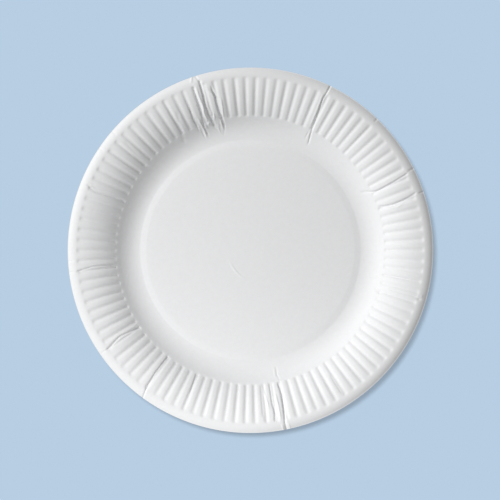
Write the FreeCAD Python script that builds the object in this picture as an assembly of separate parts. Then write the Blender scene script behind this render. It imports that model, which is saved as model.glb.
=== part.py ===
"""A round paper plate: one sheet of board pressed to shape, with a ring of ribs round its rim.

The plate stands on a narrow foot ring. From the axis out, its section is a flat middle, a small
step down to the foot, a wall that curves up, a shoulder that curves back to nearly level, a narrow
level brim and a lip that turns down. Grooves pressed into the shoulder leave the ribs.
"""

import FreeCAD, Part

import math
import os

# Driving sizes, in millimetres and degrees
plate_diameter = 230.0
board_thickness = 0.4
lip_width = 4.7
lip_slope = 36.0
brim_width = 0.3
rib_count = 102
rib_length = 25.7
rib_depth = 0.7
groove_inner_ramp = 2.0
groove_outer_ramp = 1.8
crown_slope = 4.0
wall_slope = 39.0
wall_straight_width = 1.3
wall_bend_width = 13.5
foot_width = 0.5
step_width = 3.5
step_drop = 0.35

# Straight runs that each round bend of the section is drawn with
wall_run_count = 4
shoulder_run_count = 4
lip_run_count = 2

# Radii of the section's stations, from the rim in
lip_radius = plate_diameter / 2 - lip_width
groove_finish_radius = lip_radius - brim_width
shoulder_finish_radius = groove_finish_radius - groove_outer_ramp
groove_start_radius = groove_finish_radius - rib_length
shoulder_start_radius = groove_start_radius + groove_inner_ramp
wall_bend_radius = groove_start_radius - wall_straight_width
foot_outer_radius = wall_bend_radius - wall_bend_width
foot_inner_radius = foot_outer_radius - foot_width
middle_radius = foot_inner_radius - step_width
rim_underside_radius = plate_diameter / 2 - board_thickness * math.sin(math.radians(lip_slope))

# The angle from one groove to the next, the axis, and the gap that a seam may close
pitch = 360.0 / rib_count
axis_foot = FreeCAD.Vector(0, 0, 0)
axis_way = FreeCAD.Vector(0, 0, 1)
seam_gap = 0.001


# The section: stations of radius, height and slope along the underside of the board

def straight(start, end_radius):
    """Give the station straight on from another, at a radius."""
    radius, height, slope = start
    return end_radius, height + (end_radius - radius) * math.tan(math.radians(slope)), slope


def bend(start, end_radius, end_slope, runs):
    """List the stations of an arc that leaves a station in line with it, at equal turns."""
    radius, height, slope = start
    lean = math.radians(slope)
    end_lean = math.radians(end_slope)
    arc_radius = (end_radius - radius) / (math.sin(end_lean) - math.sin(lean))
    stations = [start]
    for run in range(1, runs + 1):
        here = lean + (end_lean - lean) * run / runs
        out = radius + arc_radius * (math.sin(here) - math.sin(lean))
        up = height + arc_radius * (math.cos(lean) - math.cos(here))
        stations.append((out, up, math.degrees(here)))
    return stations


middle_edge = (middle_radius, step_drop, 0.0)
foot_inner_edge = (foot_inner_radius, 0.0, 0.0)
foot_outer_edge = (foot_outer_radius, 0.0, 0.0)
wall = bend(foot_outer_edge, wall_bend_radius, wall_slope, wall_run_count)
groove_start = straight(wall[-1], groove_start_radius)
shoulder_start = straight(groove_start, shoulder_start_radius)
shoulder = bend(shoulder_start, shoulder_finish_radius, crown_slope, shoulder_run_count)
brim_height = straight(shoulder[-1], groove_finish_radius)[1]
groove_finish = (groove_finish_radius, brim_height, 0.0)
lip_start = (lip_radius, brim_height, 0.0)
lip = bend(lip_start, rim_underside_radius, -lip_slope, lip_run_count)


# Points, edges and faces. Lift is the distance above the underside, square to the section.

def place(station, lift, angle=0.0):
    """Give the point at a lift off a station, at an angle round the plate."""
    radius, height, slope = station
    lean = math.radians(slope)
    turn = math.radians(angle)
    out = radius - lift * math.sin(lean)
    return FreeCAD.Vector(out * math.cos(turn), out * math.sin(turn), height + lift * math.cos(lean))


def line(first, last):
    """Join two points with a straight edge."""
    return Part.LineSegment(first, last).toShape()


def polygon(corners):
    """Join corners with straight edges, back to the first."""
    return Part.makePolygon(corners + corners[:1])


def circle(station, lift):
    """Draw the circle that a station makes round the plate."""
    point = place(station, lift)
    return Part.makeCircle(point.x, FreeCAD.Vector(0, 0, point.z))


def flat_face(*corners):
    """Fill a flat outline."""
    return Part.Face(polygon(list(corners)))


def flat_ring(inside, outside):
    """Fill the flat ring between two outlines at one height."""
    return Part.makeFace([Part.Wire(outside), Part.Wire(inside)], "Part::FaceMakerBullseye")


def turned(first, last):
    """Turn a straight run of the section all the way round the plate."""
    return line(first, last).revolve(axis_foot, axis_way, 360.0)


# One side of the board

def wall_strip(lift, ridge_angle):
    """Build the wall between the groove at angle 0 and a ridge, up to where the groove begins."""
    faces = []
    for start, end in zip(wall, wall[1:]):
        faces.append(flat_face(place(start, lift), place(end, lift),
                               place(end, lift, ridge_angle), place(start, lift, ridge_angle)))
    faces.append(flat_face(place(wall[-1], lift), place(groove_start, lift),
                           place(shoulder[0], lift, ridge_angle), place(wall[-1], lift, ridge_angle)))
    return faces


def groove_side(lift, ridge_angle):
    """Build one side of the groove at angle 0, from its floor up to the line of a ridge."""
    floor = lift - rib_depth
    faces = [flat_face(place(groove_start, lift), place(shoulder[0], floor),
                       place(shoulder[0], lift, ridge_angle))]
    for start, end in zip(shoulder, shoulder[1:]):
        ridge_line = line(place(start, lift, ridge_angle), place(end, lift, ridge_angle))
        floor_line = line(place(start, floor), place(end, floor))
        faces.append(Part.makeRuledSurface(ridge_line, floor_line))
    ridge_end = place(shoulder[-1], lift, ridge_angle)
    faces.append(flat_face(place(groove_finish, lift), place(shoulder[-1], floor), ridge_end))
    faces.append(flat_face(place(groove_finish, lift), ridge_end,
                           place(groove_finish, lift, ridge_angle)))
    return faces


def ribbed_ring(lift):
    """Build the wall and the ribs by repeating one groove and the wall below it."""
    one_pitch = []
    for ridge_angle in (-pitch / 2, pitch / 2):
        one_pitch += wall_strip(lift, ridge_angle) + groove_side(lift, ridge_angle)
    faces = []
    for number in range(rib_count):
        for face in one_pitch:
            copy = face.copy()
            copy.rotate(axis_foot, axis_way, number * pitch)
            faces.append(copy)
    return faces


def foot_ring(lift):
    """Build the level ring that the plate stands on, out to the corners of the wall's strips."""
    corners = [place(foot_outer_edge, lift, number * pitch / 2) for number in range(2 * rib_count)]
    return flat_ring(circle(foot_inner_edge, lift), polygon(corners))


def brim(lift):
    """Build the level ring between the ends of the ribs and the lip."""
    corners = [place(groove_finish, lift, number * pitch / 2) for number in range(2 * rib_count)]
    return flat_ring(polygon(corners), circle(lip_start, lift))


def side(lift):
    """Build one side of the board, from the middle of the plate to the rim."""
    centre = FreeCAD.Vector(0, 0, step_drop + lift)
    faces = [turned(centre, place(middle_edge, lift))]
    faces.append(turned(place(middle_edge, lift), place(foot_inner_edge, lift)))
    faces.append(foot_ring(lift))
    faces += ribbed_ring(lift)
    faces.append(brim(lift))
    for start, end in zip(lip, lip[1:]):
        faces.append(turned(place(start, lift), place(end, lift)))
    return faces


# The plate: both sides of the board, joined by its cut edge

def plate():
    """Close the underside, the top and the cut edge of the board into one solid."""
    cut_edge = turned(place(lip[-1], 0.0), place(lip[-1], board_thickness))
    board = Part.makeCompound(side(0.0) + side(board_thickness) + [cut_edge])
    board.sewShape(seam_gap)
    return Part.Solid(board.Shells[0])


os.makedirs("parts", exist_ok=True)
plate().exportStep("parts/plate.step")
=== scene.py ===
"""A used white paper plate, seen from straight above on a pale blue sheet.

The plate is one pressed sheet of board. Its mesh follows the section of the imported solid, with
rounded ribs and with the creases, dents and nicks that this one plate has. Lengths are in metres
and angles in degrees, counted anticlockwise from +X as seen from above.
"""

import logging
import math
from dataclasses import dataclass, field
from enum import Enum

import bpy
import numpy as np
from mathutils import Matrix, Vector

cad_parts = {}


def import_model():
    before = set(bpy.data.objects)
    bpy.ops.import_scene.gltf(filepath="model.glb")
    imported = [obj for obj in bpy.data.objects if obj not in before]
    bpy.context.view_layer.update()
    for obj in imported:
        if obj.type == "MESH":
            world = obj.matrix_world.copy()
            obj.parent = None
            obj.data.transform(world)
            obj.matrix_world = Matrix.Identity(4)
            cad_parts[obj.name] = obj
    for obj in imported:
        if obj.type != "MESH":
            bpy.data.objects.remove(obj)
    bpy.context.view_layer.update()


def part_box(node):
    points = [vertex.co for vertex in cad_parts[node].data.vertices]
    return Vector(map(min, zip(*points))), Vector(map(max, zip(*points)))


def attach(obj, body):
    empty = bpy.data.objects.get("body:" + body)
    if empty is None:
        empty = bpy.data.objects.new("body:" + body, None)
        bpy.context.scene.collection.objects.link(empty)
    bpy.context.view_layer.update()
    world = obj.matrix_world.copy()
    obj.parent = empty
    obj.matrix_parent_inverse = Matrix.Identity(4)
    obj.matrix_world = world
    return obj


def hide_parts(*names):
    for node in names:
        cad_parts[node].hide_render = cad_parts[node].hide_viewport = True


LOG = logging.getLogger("paper_plate")
MM = 0.001

# A place along the section: its radius, its height and the slope there in radians
Station = tuple[float, float, float]


class Side(Enum):
    """The two faces of the board, by how far each lies above the underside."""

    UNDERSIDE = 0.0
    TOP = 1.0


class Form(Enum):
    """How the board is pushed along a crease."""

    VALLEY = -1.0
    RIDGE = 1.0


def smooth_step(share: np.ndarray) -> np.ndarray:
    """Ease a share from 0 to 1, level at both ends."""
    held = np.clip(share, 0.0, 1.0)
    return held * held * (3.0 - 2.0 * held)


@dataclass(frozen=True)
class RingCounts:
    """How many rings of points each stretch of the section has, from the middle out."""

    middle: int = 6
    step: int = 14
    foot_flare: int = 1
    wall: int = 11
    wall_straight: int = 1
    shoulder_straight: int = 6
    shoulder: int = 20
    crown: int = 5
    lip: int = 12
    rim_flare: int = 4
    fewest_in_middle: int = 2
    fewest_in_step: int = 4

    @staticmethod
    def scaled(count: int, fineness: float, fewest: int = 1) -> int:
        """Scale a number of rings, down to the fewest."""
        return max(fewest, round(count * fineness))


@dataclass
class Section:
    """The section of the board along its underside, from the axis to the rim.

    Its widths and lengths are measured level, and the slopes below are in degrees.

    Attributes:
        plate_radius: radius of the rim.
        thickness: thickness of the board.
        lip_width: width from the rim in to the brim.
        brim_width: width from there in to the grooves' outer ends.
        rib_length: length of the grooves.
        inner_ramp: length over which the grooves deepen at their inner ends.
        outer_ramp: length of the grooves past the end of the shoulder's bend.
        end_ramp: length over which the grooves fade at their outer ends.
        shoulder_delay: how far the wall goes on straight past the grooves' inner ends.
        crown_slope: slope where the shoulder's bend ends.
        wall_slope: slope where the wall's bend ends.
        wall_straight_width: width of the straight wall inside the grooves.
        wall_bend_width: width of the wall's bend, with the flare.
        foot_flare_width: width of the quicker bend where the wall leaves the foot.
        foot_flare_slope: slope where that bend ends.
        foot_width: width of the foot ring.
        step_width: width of the step between the middle and the foot.
        step_drop: height of that step.
        step_ease: share of the step's width over which it steepens, and again over which it levels.
        crown_width: width of the straight stretch between the shoulder's bend and the lip's.
        lip_steepest: the lip's steepest slope, downwards.
        rim_flare_width: width over which the lip flattens at the rim.
        rim_flare_slope: slope that the lip still has at the rim, downwards.
        middle_dome: how much higher the centre is than the edge of the middle.
        counts: how many rings of points each stretch has.
    """

    plate_radius: float
    thickness: float = 0.4 * MM
    lip_width: float = 4.7 * MM
    brim_width: float = 0.3 * MM
    rib_length: float = 25.7 * MM
    inner_ramp: float = 1.4 * MM
    outer_ramp: float = 1.8 * MM
    end_ramp: float = 2.3 * MM
    shoulder_delay: float = 1.6 * MM
    crown_slope: float = 4.0
    wall_slope: float = 39.0
    wall_straight_width: float = 1.3 * MM
    wall_bend_width: float = 13.1 * MM
    foot_flare_width: float = 0.3 * MM
    foot_flare_slope: float = 3.0
    foot_width: float = 0.2 * MM
    step_width: float = 4.2 * MM
    step_drop: float = 0.35 * MM
    step_ease: float = 0.08
    crown_width: float = 1.4 * MM
    lip_steepest: float = 28.0
    rim_flare_width: float = 0.8 * MM
    rim_flare_slope: float = 4.0
    middle_dome: float = 0.12 * MM
    counts: RingCounts = RingCounts()

    @property
    def groove_finish(self) -> float:
        """Radius of the grooves' outer ends."""
        return self.plate_radius - self.lip_width - self.brim_width

    @property
    def groove_start(self) -> float:
        """Radius of the grooves' inner ends."""
        return self.groove_finish - self.rib_length

    @property
    def wall_straight_start(self) -> float:
        """Radius where the wall's bend ends."""
        return self.groove_start - self.wall_straight_width

    @property
    def foot_outer(self) -> float:
        """Radius of the foot ring's outer edge."""
        return self.wall_straight_start - self.wall_bend_width

    @property
    def foot_inner(self) -> float:
        """Radius of the foot ring's inner edge."""
        return self.foot_outer - self.foot_width

    @property
    def middle_edge(self) -> float:
        """Radius where the flat middle ends."""
        return self.foot_inner - self.step_width

    def middle(self, rings: int) -> list[Station]:
        """List the stations of the middle, which stands a little domed, without its centre.

        Args:
            rings: how many stations to make.

        Returns:
            The stations, from the inside out.
        """
        stations = []
        for ring in range(1, rings + 1):
            share = ring / rings
            radius = self.middle_edge * share
            rise = self.middle_dome * (1.0 - share * share) ** 2
            slope = -4.0 * self.middle_dome * share * (1.0 - share * share) / self.middle_edge
            stations.append((radius, self.step_drop + rise, slope))
        return stations

    def step(self, rings: int) -> list[Station]:
        """List the stations of the step from the middle down to the foot, eased at both ends.

        Args:
            rings: how many stations to make.

        Returns:
            The stations, from the inside out.
        """
        stations = []
        ease, full = self.step_ease, 1.0 - self.step_ease
        for ring in range(1, rings + 1):
            share = ring / rings
            pace = min(share, 1.0 - share, ease) / ease / full
            if share < ease:
                gone = share * share / (2.0 * ease * full)
            elif share > full:
                gone = 1.0 - (1.0 - share) ** 2 / (2.0 * ease * full)
            else:
                gone = (share - ease / 2.0) / full
            slope = math.atan(-self.step_drop * pace / self.step_width)
            radius = self.middle_edge + self.step_width * share
            stations.append((radius, self.step_drop * (1.0 - gone), slope))
        return stations

    @staticmethod
    def straight(start: Station, end_radius: float, rings: int) -> list[Station]:
        """List the stations straight on from a station.

        Args:
            start: the station to go on from, which isn't listed again.
            end_radius: the radius of the last station.
            rings: how many stations to make.

        Returns:
            The stations, from the inside out.
        """
        radius, height, slope = start
        stations = []
        for ring in range(1, rings + 1):
            run = (end_radius - radius) * ring / rings
            stations.append((radius + run, height + run * math.tan(slope), slope))
        return stations

    @staticmethod
    def bend(start: Station, end_radius: float, end_slope: float, rings: int) -> list[Station]:
        """List the stations of an arc that leaves a station in line with it.

        Args:
            start: the station to go on from, which isn't listed again.
            end_radius: the radius of the last station.
            end_slope: the slope there, in degrees.
            rings: how many stations to make.

        Returns:
            The stations, from the inside out.
        """
        radius, height, slope = start
        end_lean = math.radians(end_slope)
        arc_radius = (end_radius - radius) / (math.sin(end_lean) - math.sin(slope))
        stations = []
        for ring in range(1, rings + 1):
            here = slope + (end_lean - slope) * ring / rings
            out = radius + arc_radius * (math.sin(here) - math.sin(slope))
            up = height + arc_radius * (math.cos(slope) - math.cos(here))
            stations.append((out, up, here))
        return stations

    def middle_stations(self, fineness: float) -> np.ndarray:
        """List the stations from the first ring round the centre to the foot.

        Args:
            fineness: a factor on the number of rings in each stretch.

        Returns:
            One row of radius, height and slope for each ring.
        """
        counts = self.counts
        middle = self.middle(counts.scaled(counts.middle, fineness, counts.fewest_in_middle))
        step = self.step(counts.scaled(counts.step, fineness, counts.fewest_in_step))
        return np.array(middle + step)

    def rim_stations(self, fineness: float) -> np.ndarray:
        """List the stations from the foot's outer edge to the rim.

        Args:
            fineness: a factor on the number of rings in each stretch.

        Returns:
            One row of radius, height and slope for each ring.
        """
        counts = self.counts
        flare_end = self.foot_outer + self.foot_flare_width
        crown_start = self.groove_finish - self.outer_ramp
        crown_end = crown_start + self.crown_width
        rim = self.plate_radius - self.thickness * math.sin(math.radians(self.rim_flare_slope))
        lip_end = rim - self.rim_flare_width
        rows = [(self.foot_outer, 0.0, 0.0)]
        rows += self.bend(rows[-1], flare_end, self.foot_flare_slope,
                          counts.scaled(counts.foot_flare, fineness))
        rows += self.bend(rows[-1], self.wall_straight_start, self.wall_slope,
                          counts.scaled(counts.wall, fineness))
        rows += self.straight(rows[-1], self.groove_start,
                              counts.scaled(counts.wall_straight, fineness))
        rows += self.straight(rows[-1], self.groove_start + self.shoulder_delay,
                              counts.scaled(counts.shoulder_straight, fineness))
        rows += self.bend(rows[-1], crown_start, self.crown_slope,
                          counts.scaled(counts.shoulder, fineness))
        rows += self.straight(rows[-1], crown_end, counts.scaled(counts.crown, fineness))
        rows += self.bend(rows[-1], lip_end, -self.lip_steepest, counts.scaled(counts.lip, fineness))
        rows += self.bend(rows[-1], rim, -self.rim_flare_slope,
                          counts.scaled(counts.rim_flare, fineness))
        return np.array(rows)


@dataclass
class RibRing:
    """The grooves pressed into the rim, which leave the ribs between them.

    Attributes:
        section: the section that they are pressed into.
        count: how many grooves there are.
        depth: full depth of a groove.
        inner_share: share of that depth near the inner ends.
        deepening: length over which it grows to the full depth.
        outer_share: share of the full depth near the outer ends.
        shallowing: length over which it falls to that.
        sharpness: power that narrows the grooves' round waves.
        end_sharpness: the same at their outer ends.
        depth_play: most that a groove's depth differs, as a share of it.
        place_play: most that a groove's place differs, as a share of the pitch.
        seed: seed of the random draws.
        groove_depths: each groove's depth, as a share of the full depth.
        groove_shifts: how far each groove is out of place, as a share of the pitch.
    """

    section: Section
    count: int = 102
    depth: float = 0.69 * MM
    inner_share: float = 0.76
    deepening: float = 15.0 * MM
    outer_share: float = 0.78
    shallowing: float = 10.0 * MM
    sharpness: float = 2.5
    end_sharpness: float = 3.5
    depth_play: float = 0.14
    place_play: float = 0.05
    seed: int = 7
    groove_depths: np.ndarray = field(init=False)
    groove_shifts: np.ndarray = field(init=False)

    def __post_init__(self) -> None:
        """Draw how each groove differs from the rest."""
        chance = np.random.default_rng(self.seed)
        self.groove_depths = 1.0 + self.depth_play * chance.uniform(-1.0, 1.0, self.count)
        self.groove_shifts = self.place_play * chance.uniform(-1.0, 1.0, self.count)

    @property
    def pitch(self) -> float:
        """Angle from one groove to the next."""
        return 360.0 / self.count

    def reach(self, radius: np.ndarray) -> np.ndarray:
        """Give the share of the full depth that the grooves have.

        Args:
            radius: section radii.

        Returns:
            The share at each radius, from 0 to 1.
        """
        from_start = radius - self.section.groove_start
        to_finish = self.section.groove_finish - radius
        inner = smooth_step(from_start / self.section.inner_ramp)
        outer = smooth_step(to_finish / self.section.end_ramp)
        gain = self.inner_share + (1.0 - self.inner_share) * smooth_step(from_start / self.deepening)
        loss = (1.0 - self.outer_share) * (1.0 - smooth_step(to_finish / self.shallowing))
        return inner * outer * (gain - loss)

    def rise(self, radius: np.ndarray, angle: np.ndarray) -> np.ndarray:
        """Give how far the ribs' pressing lifts the board.

        Args:
            radius: section radii, as a column.
            angle: angles round the plate, as a row.

        Returns:
            Lift for each radius and angle, zero on a ridge and negative in a groove.
        """
        turns = angle / self.pitch
        number = np.round(turns).astype(int) % self.count
        phase = turns - np.round(turns)
        phase = phase - self.groove_shifts[number] * (1.0 - (2.0 * phase) ** 2)
        outer = smooth_step((self.section.groove_finish - radius) / self.section.end_ramp)
        sharpness = self.end_sharpness + (self.sharpness - self.end_sharpness) * outer
        wave = (0.5 + 0.5 * np.cos(2.0 * np.pi * phase)) ** sharpness
        return -self.depth * self.groove_depths[number] * wave * self.reach(radius)


@dataclass(frozen=True)
class Crease:
    """A line along which the board was pinched or folded while it was pressed or handled.

    Attributes:
        path: its points, each an angle in degrees and a radius in millimetres.
        height: how far it pushes the board at its middle, in millimetres.
        width: how far from its middle that has fallen to 37 %, in millimetres.
        form: which way it pushes the board.
        fade: length over which it fades at each end, half of it past the path, in millimetres.
    """

    path: tuple[tuple[float, float], ...]
    height: float
    width: float
    form: Form = Form.VALLEY
    fade: float = 2.0

    @property
    def angles(self) -> list[float]:
        """Angles of the path's points, from its inner end."""
        return [angle for angle, _ in sorted(self.path, key=lambda point: point[1])]

    @property
    def radii(self) -> list[float]:
        """Radii of the path's points in metres, from its inner end."""
        return sorted(radius * MM for _, radius in self.path)

    def rise(self, radius: np.ndarray, angle: np.ndarray) -> np.ndarray:
        """Give how far the crease lifts the board.

        Args:
            radius: section radii, as a column.
            angle: angles round the plate, as a row.

        Returns:
            Lift for each radius and angle.
        """
        centre = np.interp(radius, self.radii, self.angles)
        aside = (angle - centre + 180.0) % 360.0 - 180.0
        across = np.radians(aside) * radius / (self.width * MM)
        inner = (radius - self.radii[0]) / (self.fade * MM) + 0.5
        outer = (self.radii[-1] - radius) / (self.fade * MM) + 0.5
        along = smooth_step(inner) * smooth_step(outer)
        return self.form.value * self.height * MM * np.exp(-across * across) * along


def plate_creases() -> list[Crease]:
    """List the creases, dents and nicks of this plate.

    Returns:
        The creases, each with a path, a height, a width, a form and the length over which it fades.
    """
    valley, ridge = Form.VALLEY, Form.RIDGE
    right = [
        Crease(((19.0, 110.0), (18.3, 103.7), (17.5, 94.3), (18.6, 86.0)), 0.55, 0.7),
        Crease(((18.7, 112.0), (18.7, 115.5)), 0.35, 0.6),
        Crease(((26.0, 110.0), (25.3, 97.0), (25.0, 88.0), (26.0, 84.0), (27.6, 79.5)), 0.6, 0.55),
        Crease(((24.2, 104.0), (24.3, 88.0)), 0.2, 0.5, ridge),
        Crease(((17.2, 101.0), (16.2, 96.0)), 0.3, 0.5, ridge),
        Crease(((26.6, 111.0), (26.6, 115.5)), 0.35, 0.7),
        Crease(((46.0, 112.5), (46.0, 115.5)), 0.25, 0.6),
        Crease(((64.0, 115.5), (64.1, 110.5), (64.4, 105.6), (63.3, 89.5), (62.5, 82.1), (61.5, 77.0)),
               0.6, 0.45),
        Crease(((65.1, 108.0), (64.2, 88.0)), 0.2, 0.5, ridge),
        Crease(((63.9, 84.0), (63.9, 78.8)), 0.2, 0.4),
        Crease(((341.4, 86.5), (343.0, 82.5)), 0.5, 1.0),
        Crease(((344.3, 108.7), (344.3, 91.0)), 0.35, 0.6),
        Crease(((343.8, 109.5), (343.8, 111.5)), 0.35, 0.8),
        Crease(((345.0, 109.5), (345.0, 112.0)), 0.25, 0.9, ridge),
        Crease(((349.5, 101.0), (349.5, 86.0)), 0.3, 0.4),
    ]
    top_pleat = [
        Crease(((106.7, 111.5), (106.8, 101.6), (107.1, 95.6), (106.9, 88.5), (106.0, 81.6)), 1.05, 0.8),
        Crease(((108.4, 110.5), (108.6, 102.3), (108.2, 95.5), (108.8, 90.8), (108.3, 86.8)),
               0.55, 0.62, ridge),
        Crease(((109.2, 108.6), (109.3, 101.4), (109.4, 96.1), (109.8, 90.4), (110.5, 84.1)), 0.5, 0.6),
        Crease(((111.6, 88.5), (111.0, 79.8), (111.2, 77.7)), 0.5, 0.42, ridge, 1.5),
        Crease(((110.3, 82.5), (110.0, 77.5)), 0.3, 0.4, valley, 1.0),
        Crease(((112.2, 81.5), (111.9, 77.5)), 0.25, 0.4, valley, 1.0),
        Crease(((107.8, 84.9), (110.3, 82.3)), 0.5, 0.5, ridge, 1.0),
        Crease(((113.2, 96.0), (113.6, 89.9), (113.2, 83.0)), 0.4, 0.5),
        Crease(((105.9, 107.0), (104.8, 104.2), (103.8, 101.4), (102.9, 99.0)), 0.6, 0.45, ridge, 1.0),
        Crease(((103.5, 105.5), (102.9, 99.4), (102.9, 93.7), (102.8, 89.7), (102.1, 85.0), (101.9, 80.5)),
               0.75, 0.6),
        Crease(((101.9, 81.5), (101.8, 78.9), (103.0, 75.0)), 0.2, 0.45, valley, 1.0),
        Crease(((101.0, 97.0), (101.1, 91.1), (101.4, 86.5)), 0.35, 0.5, ridge),
        Crease(((102.9, 84.5), (102.7, 79.0)), 0.35, 0.4, ridge, 1.0),
        Crease(((106.2, 90.6), (104.9, 88.6), (105.6, 85.0)), 0.5, 0.42, ridge, 1.0),
        Crease(((105.4, 90.0), (106.0, 87.0)), 0.3, 0.4, valley, 1.0),
        Crease(((104.2, 82.0), (104.8, 79.5), (104.2, 77.0)), 0.25, 0.4, ridge, 1.0),
        Crease(((109.4, 112.0), (108.6, 115.5)), 0.35, 0.6, ridge),
        Crease(((107.0, 111.5), (107.6, 115.0)), 0.3, 0.5),
        Crease(((118.0, 98.0), (121.5, 80.0)), 0.22, 1.3),
    ]
    left = [
        Crease(((139.3, 111.5), (139.3, 115.5)), 0.2, 0.5),
        Crease(((139.0, 104.0), (141.0, 83.5)), 0.2, 1.3),
        Crease(((146.0, 111.5), (146.0, 115.5)), 0.18, 0.5),
        Crease(((158.1, 110.5), (159.5, 103.5), (159.2, 98.4), (158.8, 89.0)), 0.4, 0.5),
        Crease(((157.1, 108.0), (159.0, 103.1)), 0.3, 0.4, valley, 1.0),
        Crease(((157.7, 108.5), (159.1, 104.2)), 0.2, 0.35, ridge, 1.0),
        Crease(((187.0, 110.0), (185.9, 99.6), (185.9, 86.5)), 0.5, 0.45),
        Crease(((185.4, 100.0), (185.2, 86.0)), 0.2, 0.4, ridge),
        Crease(((183.5, 111.5), (183.5, 115.5)), 0.15, 0.5),
        Crease(((187.0, 111.5), (187.0, 115.5)), 0.15, 0.5),
        Crease(((214.8, 110.0), (213.4, 98.1), (214.6, 85.6)), 0.75, 0.6),
        # This ridge fills the groove that the crease above pushes aside
        Crease(((215.4, 107.5), (215.4, 87.0)), 0.42, 0.85, ridge, 5.0),
        Crease(((214.7, 110.5), (214.7, 113.5)), 0.2, 0.5),
        Crease(((234.0, 115.5), (232.8, 107.4), (232.1, 97.4), (232.1, 85.0)), 0.65, 0.46),
        Crease(((247.1, 97.0), (246.4, 85.5)), 0.35, 0.42),
    ]
    bottom_pleat = [
        Crease(((274.4, 104.5), (274.4, 86.0)), 0.35, 0.7),
        Crease(((275.4, 89.2), (276.7, 99.8)), 0.3, 0.5, ridge),
        Crease(((278.1, 85.0), (278.1, 98.1), (278.7, 102.6), (278.2, 108.5)), 0.5, 0.5),
        Crease(((279.8, 93.0), (280.2, 99.5), (280.2, 105.5), (280.0, 110.5)), 0.35, 0.6, ridge),
        Crease(((281.8, 85.9), (282.3, 92.1), (282.2, 96.1), (281.9, 102.8), (281.4, 110.9), (281.5, 115.5)),
               0.9, 0.6),
        Crease(((282.4, 76.1), (282.0, 80.8), (282.8, 83.9)), 0.22, 0.4),
        Crease(((281.4, 76.0), (281.0, 81.0)), 0.15, 0.4, ridge),
        Crease(((280.3, 111.5), (280.5, 115.5)), 0.35, 0.45, ridge),
        Crease(((282.5, 111.5), (282.6, 115.5)), 0.25, 0.4, ridge),
        Crease(((302.5, 107.0), (302.5, 94.0)), 0.3, 0.6),
    ]
    return right + top_pleat + left + bottom_pleat


@dataclass(frozen=True)
class Scratch:
    """A faint curved scratch in the middle: part of a circle round a point on the plate."""

    hub: tuple[float, float, float] = (7.5 * MM, 1.0 * MM, 0.0)
    radius: float = 22.0 * MM
    middle: tuple[float, float, float] = (-9.0 * MM, -13.5 * MM, 0.0)
    length: float = 22.0 * MM
    width: float = 2.4 * MM
    depth: float = 0.15 * MM

    def height(self, tree: bpy.types.NodeTree, place: bpy.types.Node) -> bpy.types.Node:
        """Add nodes that give 1 along the scratch and 0 away from it.

        Args:
            tree: the tree to add to.
            place: the texture coordinate node.

        Returns:
            The node whose first output is the height.
        """
        level = tree.nodes.new("ShaderNodeVectorMath")
        level.operation = "MULTIPLY"
        level.inputs[1].default_value = (1.0, 1.0, 0.0)
        tree.links.new(place.outputs["Object"], level.inputs[0])
        off_line = self.off(tree, level, self.hub, self.radius, self.width / 2.0)
        off_middle = self.off(tree, level, self.middle, 0.0, self.length / 2.0)
        both = tree.nodes.new("ShaderNodeMath")
        both.operation = "MULTIPLY"
        tree.links.new(off_line.outputs["Result"], both.inputs[0])
        tree.links.new(off_middle.outputs["Result"], both.inputs[1])
        return both

    @staticmethod
    def off(tree: bpy.types.NodeTree, level: bpy.types.Node, point: tuple[float, float, float],
            radius: float, reach: float) -> bpy.types.Node:
        """Add nodes that fall from 1 to 0 with the distance from a circle.

        Args:
            tree: the tree to add to.
            level: the node that gives the place.
            point: the circle's centre.
            radius: the circle's radius.
            reach: the distance at which the result is 0.

        Returns:
            The node that gives the result.
        """
        gap = tree.nodes.new("ShaderNodeVectorMath")
        gap.operation = "DISTANCE"
        gap.inputs[1].default_value = point
        tree.links.new(level.outputs["Vector"], gap.inputs[0])
        past = tree.nodes.new("ShaderNodeMath")
        past.operation = "SUBTRACT"
        past.inputs[1].default_value = radius
        tree.links.new(gap.outputs["Value"], past.inputs[0])
        size = tree.nodes.new("ShaderNodeMath")
        size.operation = "ABSOLUTE"
        tree.links.new(past.outputs["Value"], size.inputs[0])
        fall = tree.nodes.new("ShaderNodeMapRange")
        fall.interpolation_type = "SMOOTHSTEP"
        fall.inputs["From Min"].default_value = 0.0
        fall.inputs["From Max"].default_value = reach
        fall.inputs["To Min"].default_value = 1.0
        fall.inputs["To Max"].default_value = 0.0
        tree.links.new(size.outputs["Value"], fall.inputs["Value"])
        return fall


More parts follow.
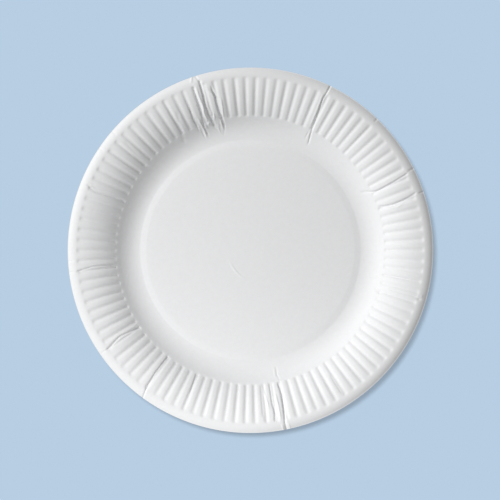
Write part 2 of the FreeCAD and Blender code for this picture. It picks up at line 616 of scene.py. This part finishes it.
@dataclass(frozen=True)
class BoardFinish:
    """White uncoated board: pressed fibres, faintly uneven in tone, dull with a slight sheen."""

    name: str = "pressed_board"
    tone: float = 0.83
    tone_spread: float = 0.025
    roughness: float = 0.62
    sheen: float = 0.35
    fibre_scale: float = 2600.0
    fibre_detail: float = 4.0
    cockle_scale: float = 90.0
    cockle_detail: float = 2.0
    mottle_scale: float = 420.0
    mottle_detail: float = 5.0
    tint: tuple[float, float, float] = (0.995, 1.0, 1.009)
    fibre_relief: float = 0.03 * MM
    cockle_relief: float = 0.05 * MM
    scratch: Scratch = Scratch()

    def material(self) -> bpy.types.Material:
        """Build the material.

        Returns:
            The material.
        """
        material, tree, shader = new_material(self.name)
        shader.inputs["Roughness"].default_value = self.roughness
        shader.inputs["Specular IOR Level"].default_value = self.sheen
        place = tree.nodes.new("ShaderNodeTexCoord")
        fibres = noise(tree, place, self.fibre_scale, self.fibre_detail)
        cockle = noise(tree, place, self.cockle_scale, self.cockle_detail)
        mottle = noise(tree, place, self.mottle_scale, self.mottle_detail)
        dark, light = self.tone - self.tone_spread, self.tone + self.tone_spread
        colour = blend(tree, mottle.outputs["Fac"], tuple(dark * part for part in self.tint),
                       tuple(light * part for part in self.tint))
        tree.links.new(colour.outputs["Result"], shader.inputs["Base Color"])
        coarse = bump(tree, cockle.outputs["Fac"], self.cockle_relief)
        scored = bump(tree, self.scratch.height(tree, place).outputs["Value"], self.scratch.depth)
        fine = bump(tree, fibres.outputs["Fac"], self.fibre_relief)
        tree.links.new(coarse.outputs["Normal"], scored.inputs["Normal"])
        tree.links.new(scored.outputs["Normal"], fine.inputs["Normal"])
        tree.links.new(fine.outputs["Normal"], shader.inputs["Normal"])
        return material


@dataclass(frozen=True)
class CutEdgeFinish:
    """The board's cut edge: bare fibres, a little darker, warmer and rougher than its faces."""

    name: str = "cut_edge"
    tone: float = 0.84
    dark_tint: tuple[float, float, float] = (0.95, 0.95, 0.94)
    light_tint: tuple[float, float, float] = (1.0, 1.0, 0.99)
    roughness: float = 0.9
    sheen: float = 0.2
    fibre_scale: float = 3500.0
    fibre_detail: float = 3.0
    fibre_relief: float = 0.05 * MM

    def material(self) -> bpy.types.Material:
        """Build the material.

        Returns:
            The material.
        """
        material, tree, shader = new_material(self.name)
        shader.inputs["Roughness"].default_value = self.roughness
        shader.inputs["Specular IOR Level"].default_value = self.sheen
        place = tree.nodes.new("ShaderNodeTexCoord")
        fibres = noise(tree, place, self.fibre_scale, self.fibre_detail)
        colour = blend(tree, fibres.outputs["Fac"], tuple(self.tone * part for part in self.dark_tint),
                       tuple(self.tone * part for part in self.light_tint))
        tree.links.new(colour.outputs["Result"], shader.inputs["Base Color"])
        relief = bump(tree, fibres.outputs["Fac"], self.fibre_relief)
        tree.links.new(relief.outputs["Normal"], shader.inputs["Normal"])
        return material


@dataclass(frozen=True)
class SheetFinish:
    """The pale blue sheet under the plate: plain blue to the camera, grey to the light it returns."""

    name: str = "blue_sheet"
    blue: tuple[float, float, float] = (0.479, 0.617, 0.768)
    lit_share: float = 0.18
    returned: float = 0.2

    def material(self, light_level: float) -> bpy.types.Material:
        """Build the material, which shows its own blue where nothing shades it.

        Args:
            light_level: how brightly the lamps and the room light the sheet.

        Returns:
            The material.
        """
        material, tree, shader = new_material(self.name)
        tree.nodes.remove(shader)
        lit = tree.nodes.new("ShaderNodeBsdfDiffuse")
        lit.inputs["Color"].default_value = (*(self.lit_share * part for part in self.blue), 1.0)
        own = tree.nodes.new("ShaderNodeEmission")
        own.inputs["Color"].default_value = (*self.blue, 1.0)
        own.inputs["Strength"].default_value = 1.0 - self.lit_share * light_level
        shown = tree.nodes.new("ShaderNodeAddShader")
        dull = tree.nodes.new("ShaderNodeBsdfDiffuse")
        dull.inputs["Color"].default_value = (self.returned, self.returned, self.returned, 1.0)
        path = tree.nodes.new("ShaderNodeLightPath")
        choice = tree.nodes.new("ShaderNodeMixShader")
        tree.links.new(lit.outputs["BSDF"], shown.inputs[0])
        tree.links.new(own.outputs["Emission"], shown.inputs[1])
        tree.links.new(path.outputs["Is Camera Ray"], choice.inputs["Fac"])
        tree.links.new(dull.outputs["BSDF"], choice.inputs[1])
        tree.links.new(shown.outputs["Shader"], choice.inputs[2])
        tree.links.new(choice.outputs["Shader"], tree.nodes["Material Output"].inputs["Surface"])
        return material


def new_material(name: str) -> tuple[bpy.types.Material, bpy.types.NodeTree, bpy.types.Node]:
    """Start a node material.

    Args:
        name: the material's name.

    Returns:
        The material, its node tree and its main shader.
    """
    material = bpy.data.materials.new(name)
    material.use_nodes = True
    return material, material.node_tree, material.node_tree.nodes["Principled BSDF"]


def noise(tree: bpy.types.NodeTree, place: bpy.types.Node, scale: float, detail: float
          ) -> bpy.types.Node:
    """Add a noise texture in the object's own space.

    Args:
        tree: the tree to add to.
        place: the texture coordinate node.
        scale: waves to a metre.
        detail: how many finer layers it has.

    Returns:
        The noise node.
    """
    node = tree.nodes.new("ShaderNodeTexNoise")
    node.inputs["Scale"].default_value = scale
    node.inputs["Detail"].default_value = detail
    tree.links.new(place.outputs["Object"], node.inputs["Vector"])
    return node


def blend(tree: bpy.types.NodeTree, share: bpy.types.NodeSocket, first: tuple[float, ...],
          second: tuple[float, ...]) -> bpy.types.Node:
    """Add a node that goes from one colour to another.

    Args:
        tree: the tree to add to.
        share: the output that gives how much of the second colour shows, from 0 to 1.
        first: red, green and blue of the first colour.
        second: red, green and blue of the second colour.

    Returns:
        The node that gives the colour.
    """
    node = tree.nodes.new("ShaderNodeMix")
    node.data_type = "RGBA"
    node.inputs["A"].default_value = (*first, 1.0)
    node.inputs["B"].default_value = (*second, 1.0)
    tree.links.new(share, node.inputs["Factor"])
    return node


def bump(tree: bpy.types.NodeTree, height: bpy.types.NodeSocket, relief: float) -> bpy.types.Node:
    """Add a bump node driven by a height.

    Args:
        tree: the tree to add to.
        height: the output that gives the height, from 0 to 1.
        relief: the height of the bumps in metres.

    Returns:
        The bump node.
    """
    node = tree.nodes.new("ShaderNodeBump")
    node.inputs["Distance"].default_value = relief
    tree.links.new(height, node.inputs["Height"])
    return node


@dataclass
class PressedPlate:
    """The whole plate: one sheet of board with a top, an underside and a cut edge.

    Attributes:
        section: its section.
        ribs: the grooves round its rim.
        creases: its creases, dents and nicks.
        crown_height: the highest that the underside gets, which no crease passes.
        board: finish of its two sides.
        cut_edge: finish of its edge.
        columns_per_rib: columns of points to each rib.
        crease_columns: how many columns are added past each side of a crease.
        crease_column_angle: angle between those.
        angle_digits: decimal places that the columns' angles are rounded to.
        middle_column_stride: one column in this many goes on inside the foot.
        top_fineness: factor on the number of rings on top.
        underside_fineness: factor on the number of rings on the underside.
    """

    section: Section
    ribs: RibRing
    creases: list[Crease]
    crown_height: float
    board: BoardFinish = field(default_factory=BoardFinish)
    cut_edge: CutEdgeFinish = field(default_factory=CutEdgeFinish)
    columns_per_rib: int = 8
    crease_columns: int = 3
    crease_column_angle: float = 0.22
    angle_digits: int = 4
    middle_column_stride: int = 6
    top_fineness: float = 1.0
    underside_fineness: float = 0.36

    def columns(self) -> np.ndarray:
        """List the angles of the mesh's columns, closer together beside the creases.

        Returns:
            The angles, from 0 up to a full turn.
        """
        even = np.arange(self.ribs.count * self.columns_per_rib) / self.columns_per_rib
        angles = set(np.round(even * self.ribs.pitch, self.angle_digits))
        for crease in self.creases:
            first = round(min(crease.angles) / self.crease_column_angle) - self.crease_columns
            last = round(max(crease.angles) / self.crease_column_angle) + self.crease_columns
            for step in range(first, last + 1):
                angles.add(round((step * self.crease_column_angle) % 360.0, self.angle_digits))
        kept = []
        for angle in sorted(angles):
            if not kept or angle - kept[-1] > self.crease_column_angle / 2:
                kept.append(angle)
        return np.array(kept)

    def skin(self, side: Side, stations: np.ndarray, angles: np.ndarray) -> np.ndarray:
        """Work out points of one side of the board.

        Args:
            side: the side to make.
            stations: the section's stations, one for each ring.
            angles: the angles of the columns.

        Returns:
            Points by ring and column.
        """
        radius, height, slope = (stations[:, [part]] for part in range(3))
        lift = self.ribs.rise(radius, angles[None, :])
        for crease in self.creases:
            lift = lift + crease.rise(radius, angles[None, :])
        lowest, highest = -height / np.cos(slope), (self.crown_height - height) / np.cos(slope)
        lift = np.clip(lift, lowest, highest) + side.value * self.section.thickness
        turn = np.radians(angles)[None, :]
        out = radius - lift * np.sin(slope)
        up = height + lift * np.cos(slope)
        return np.stack([out * np.cos(turn), out * np.sin(turn), up], axis=2)

    def side_mesh(self, side: Side, first: int, angles: np.ndarray
                  ) -> tuple[list[tuple[float, ...]], list[tuple[int, ...]]]:
        """Make the points and faces of one side, with fewer columns inside the foot.

        Args:
            side: the side to make.
            first: the number of its first point.
            angles: the angles of the columns outside the foot.

        Returns:
            The points, of which the last ring is the rim, and the faces.
        """
        fineness = self.top_fineness if side is Side.TOP else self.underside_fineness
        few = list(range(0, len(angles), self.middle_column_stride))
        middle = self.skin(side, self.section.middle_stations(fineness), angles[few])
        rim = self.skin(side, self.section.rim_stations(fineness), angles)
        centre = self.section.step_drop + self.section.middle_dome + side.value * self.section.thickness
        points = [(0.0, 0.0, centre)]
        points += [tuple(point) for point in middle.reshape(-1, 3)]
        points += [tuple(point) for point in rim.reshape(-1, 3)]
        foot_ring = first + 1 + (middle.shape[0] - 1) * len(few)
        rim_first = first + 1 + middle.shape[0] * len(few)
        faces = [(first, first + 1 + column, first + 1 + (column + 1) % len(few))
                 for column in range(len(few))]
        faces += self.ring_faces(first + 1, middle.shape[0], len(few))
        for number, column in enumerate(few):
            after = few[number + 1] if number + 1 < len(few) else len(angles)
            outside = [rim_first + step % len(angles) for step in range(column, after + 1)]
            inside = (foot_ring + number, foot_ring + (number + 1) % len(few))
            faces.append((inside[0], *outside, inside[1]))
        faces += self.ring_faces(rim_first, rim.shape[0], len(angles))
        return points, faces if side is Side.TOP else [face[::-1] for face in faces]

    def build(self) -> bpy.types.Object:
        """Build the plate's mesh and dress it.

        Returns:
            The plate's object.
        """
        angles = self.columns()
        count = len(angles)
        points, faces = self.side_mesh(Side.TOP, 0, angles)
        rim_top = len(points) - count
        under_points, under_faces = self.side_mesh(Side.UNDERSIDE, len(points), angles)
        points += under_points
        faces += under_faces
        rim_under = len(points) - count
        board_faces = len(faces)
        for column in range(count):
            after = (column + 1) % count
            faces.append((rim_top + column, rim_under + column, rim_under + after, rim_top + after))
        mesh = bpy.data.meshes.new("plate")
        mesh.from_pydata(points, [], faces)
        mesh.shade_smooth()
        self.sharpen_rim(mesh, rim_top, rim_under, count)
        mesh.materials.append(self.board.material())
        mesh.materials.append(self.cut_edge.material())
        for polygon in mesh.polygons[board_faces:]:
            polygon.material_index = 1
        plate = bpy.data.objects.new("pressed_plate", mesh)
        bpy.context.scene.collection.objects.link(plate)
        return plate

    @staticmethod
    def ring_faces(first: int, rings: int, count: int) -> list[tuple[int, ...]]:
        """List the faces between rings of points, looking up.

        Args:
            first: the number of the first ring's first point.
            rings: how many rings there are.
            count: how many points each ring has.

        Returns:
            The faces, each as the numbers of its points.
        """
        faces = []
        for column in range(count):
            after = (column + 1) % count
            for ring in range(rings - 1):
                inner, outer = first + ring * count, first + (ring + 1) * count
                faces.append((inner + column, outer + column, outer + after, inner + after))
        return faces

    @staticmethod
    def sharpen_rim(mesh: bpy.types.Mesh, rim_top: int, rim_under: int, count: int) -> None:
        """Keep the two corners of the cut edge sharp.

        Args:
            mesh: the plate's mesh.
            rim_top: the number of the first point of the top's outer ring.
            rim_under: the number of the first point of the underside's outer ring.
            count: how many points each ring has.
        """
        for edge in mesh.edges:
            ends = edge.vertices
            for first in (rim_top, rim_under):
                if all(first <= end < first + count for end in ends):
                    edge.use_edge_sharp = True


@dataclass(frozen=True)
class LampPlace:
    """Where a lamp hangs: its angle round the plate, its angle above the sheet and its distance."""

    azimuth: float
    elevation: float
    distance: float

    def way(self) -> Vector:
        """Give the direction from the plate to the lamp."""
        turn, up = math.radians(self.azimuth), math.radians(self.elevation)
        return Vector((math.cos(turn) * math.cos(up), math.sin(turn) * math.cos(up), math.sin(up)))


@dataclass
class Studio:
    """The sheet that the plate lies on, the lamps and the camera above.

    Attributes:
        rim_height: height of the plate's highest point, where the picture's scale holds.
        frame_pixels: side of the square picture, in pixels.
        plate_radius_pixels: radius of the plate in it.
        plate_centre_pixels: place of the plate's centre in it, across and down.
        plate_radius: radius of the plate.
        camera_height: height of the camera above the sheet.
        sensor_millimetres: width of the camera's sensor.
        sheet_size: side of the sheet.
        room_level: strength of the even light from all round.
        key: place of the main lamp, which lights the plate alone.
        key_size: side of that lamp.
        key_power: its power in watts.
        fill: place of the weak lamp close by at the front, which lights the plate alone.
        fill_size: side of that lamp.
        fill_power: its power in watts.
        high: place of the lamp that lights the sheet alone, and casts the plate's shadow.
        high_softness: how wide that lamp looks, in degrees.
        high_level: how brightly it lights the sheet: 1 would show a white one as white.
        finish: finish of the sheet.
    """

    rim_height: float
    frame_pixels: float = 500.0
    plate_radius_pixels: float = 182.75
    plate_centre_pixels: tuple[float, float] = (250.4, 250.25)
    plate_radius: float = 0.115
    camera_height: float = 4.5
    sensor_millimetres: float = 36.0
    sheet_size: float = 6.0
    room_level: float = 0.185
    key: LampPlace = LampPlace(azimuth=150.0, elevation=37.0, distance=1.3)
    key_size: float = 0.5
    key_power: float = 14.7
    fill: LampPlace = LampPlace(azimuth=258.0, elevation=40.0, distance=0.3)
    fill_size: float = 0.2
    fill_power: float = 0.3
    high: LampPlace = LampPlace(azimuth=133.0, elevation=77.4, distance=1.6)
    high_softness: float = 13.0
    high_level: float = 2.2
    finish: SheetFinish = field(default_factory=SheetFinish)

    def sheet(self) -> bpy.types.Object:
        """Lay the sheet.

        Returns:
            The sheet's object.
        """
        half = self.sheet_size / 2.0
        mesh = bpy.data.meshes.new("sheet")
        corners = [(-half, -half, 0.0), (half, -half, 0.0), (half, half, 0.0), (-half, half, 0.0)]
        mesh.from_pydata(corners, [], [(0, 1, 2, 3)])
        mesh.materials.append(self.finish.material(self.room_level + self.high_level))
        sheet = bpy.data.objects.new("sheet", mesh)
        bpy.context.scene.collection.objects.link(sheet)
        return sheet

    @staticmethod
    def hang(data: bpy.types.Light, place: LampPlace, lit: bpy.types.Object) -> None:
        """Hang a lamp that looks at the plate's place and lights one thing.

        Args:
            data: the lamp's light.
            place: where it hangs.
            lit: the thing that it lights.
        """
        lamp = bpy.data.objects.new(data.name, data)
        lamp.location = place.way() * place.distance
        lamp.rotation_euler = place.way().to_track_quat("Z", "Y").to_euler()
        bpy.context.scene.collection.objects.link(lamp)
        lamp.visible_camera = False
        group = bpy.data.collections.new(data.name + "_lights")
        group.objects.link(lit)
        lamp.light_linking.receiver_collection = group

    def light(self, plate: bpy.types.Object, sheet: bpy.types.Object) -> None:
        """Hang the key lamp and the fill lamp for the plate, and the high lamp for its shadow.

        Args:
            plate: the plate, which the key and the fill light.
            sheet: the sheet, which the high lamp lights.
        """
        soft_lamps = (("key", self.key, self.key_size, self.key_power),
                      ("fill", self.fill, self.fill_size, self.fill_power))
        for name, place, size, power in soft_lamps:
            data = bpy.data.lights.new(name, "AREA")
            data.energy = power
            data.size = size
            self.hang(data, place, plate)
        data = bpy.data.lights.new("high", "SUN")
        data.energy = self.high_level * math.pi / math.sin(math.radians(self.high.elevation))
        data.angle = math.radians(self.high_softness)
        self.hang(data, self.high, sheet)
        self.room()

    def room(self) -> None:
        """Light the room evenly, and show the sheet's blue where the camera sees past the sheet."""
        world = bpy.data.worlds.new("room")
        world.use_nodes = True
        tree = world.node_tree
        soft = tree.nodes["Background"]
        soft.inputs["Color"].default_value = (1.0, 1.0, 1.0, 1.0)
        soft.inputs["Strength"].default_value = self.room_level
        shown = tree.nodes.new("ShaderNodeBackground")
        shown.inputs["Color"].default_value = (*self.finish.blue, 1.0)
        path = tree.nodes.new("ShaderNodeLightPath")
        choice = tree.nodes.new("ShaderNodeMixShader")
        tree.links.new(path.outputs["Is Camera Ray"], choice.inputs["Fac"])
        tree.links.new(soft.outputs["Background"], choice.inputs[1])
        tree.links.new(shown.outputs["Background"], choice.inputs[2])
        tree.links.new(choice.outputs["Shader"], tree.nodes["World Output"].inputs["Surface"])
        bpy.context.scene.world = world

    def camera(self) -> bpy.types.Object:
        """Set the camera straight above, so that the plate fills as much of the frame as it should.

        Returns:
            The camera's object.
        """
        pixel = self.plate_radius / self.plate_radius_pixels
        middle = self.frame_pixels / 2.0
        data = bpy.data.cameras.new("camera")
        data.sensor_width = self.sensor_millimetres
        distance = self.camera_height - self.rim_height
        data.lens = data.sensor_width * distance / (self.frame_pixels * pixel)
        camera = bpy.data.objects.new("camera", data)
        across = (middle - self.plate_centre_pixels[0]) * pixel
        along = (self.plate_centre_pixels[1] - middle) * pixel
        camera.location = (across, along, self.camera_height)
        bpy.context.scene.collection.objects.link(camera)
        bpy.context.scene.camera = camera
        return camera


def main() -> None:
    """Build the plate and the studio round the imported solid."""
    logging.basicConfig(level=logging.INFO, format="%(name)s: %(message)s")
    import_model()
    plate_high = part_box("plate")[1]
    section = Section(plate_radius=plate_high[0])
    crown_height = plate_high[2] - section.thickness
    plate = PressedPlate(section, RibRing(section), plate_creases(), crown_height).build()
    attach(plate, "root")
    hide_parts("plate")
    LOG.info("plate: %d faces", len(plate.data.polygons))
    studio = Studio(rim_height=plate_high[2], plate_radius=plate_high[0])
    sheet = studio.sheet()
    LOG.info("sheet: %.1f m wide", studio.sheet_size)
    studio.light(plate, sheet)
    studio.camera()
    bpy.context.scene.view_settings.view_transform = "Standard"


if __name__ == "__main__":
    main()
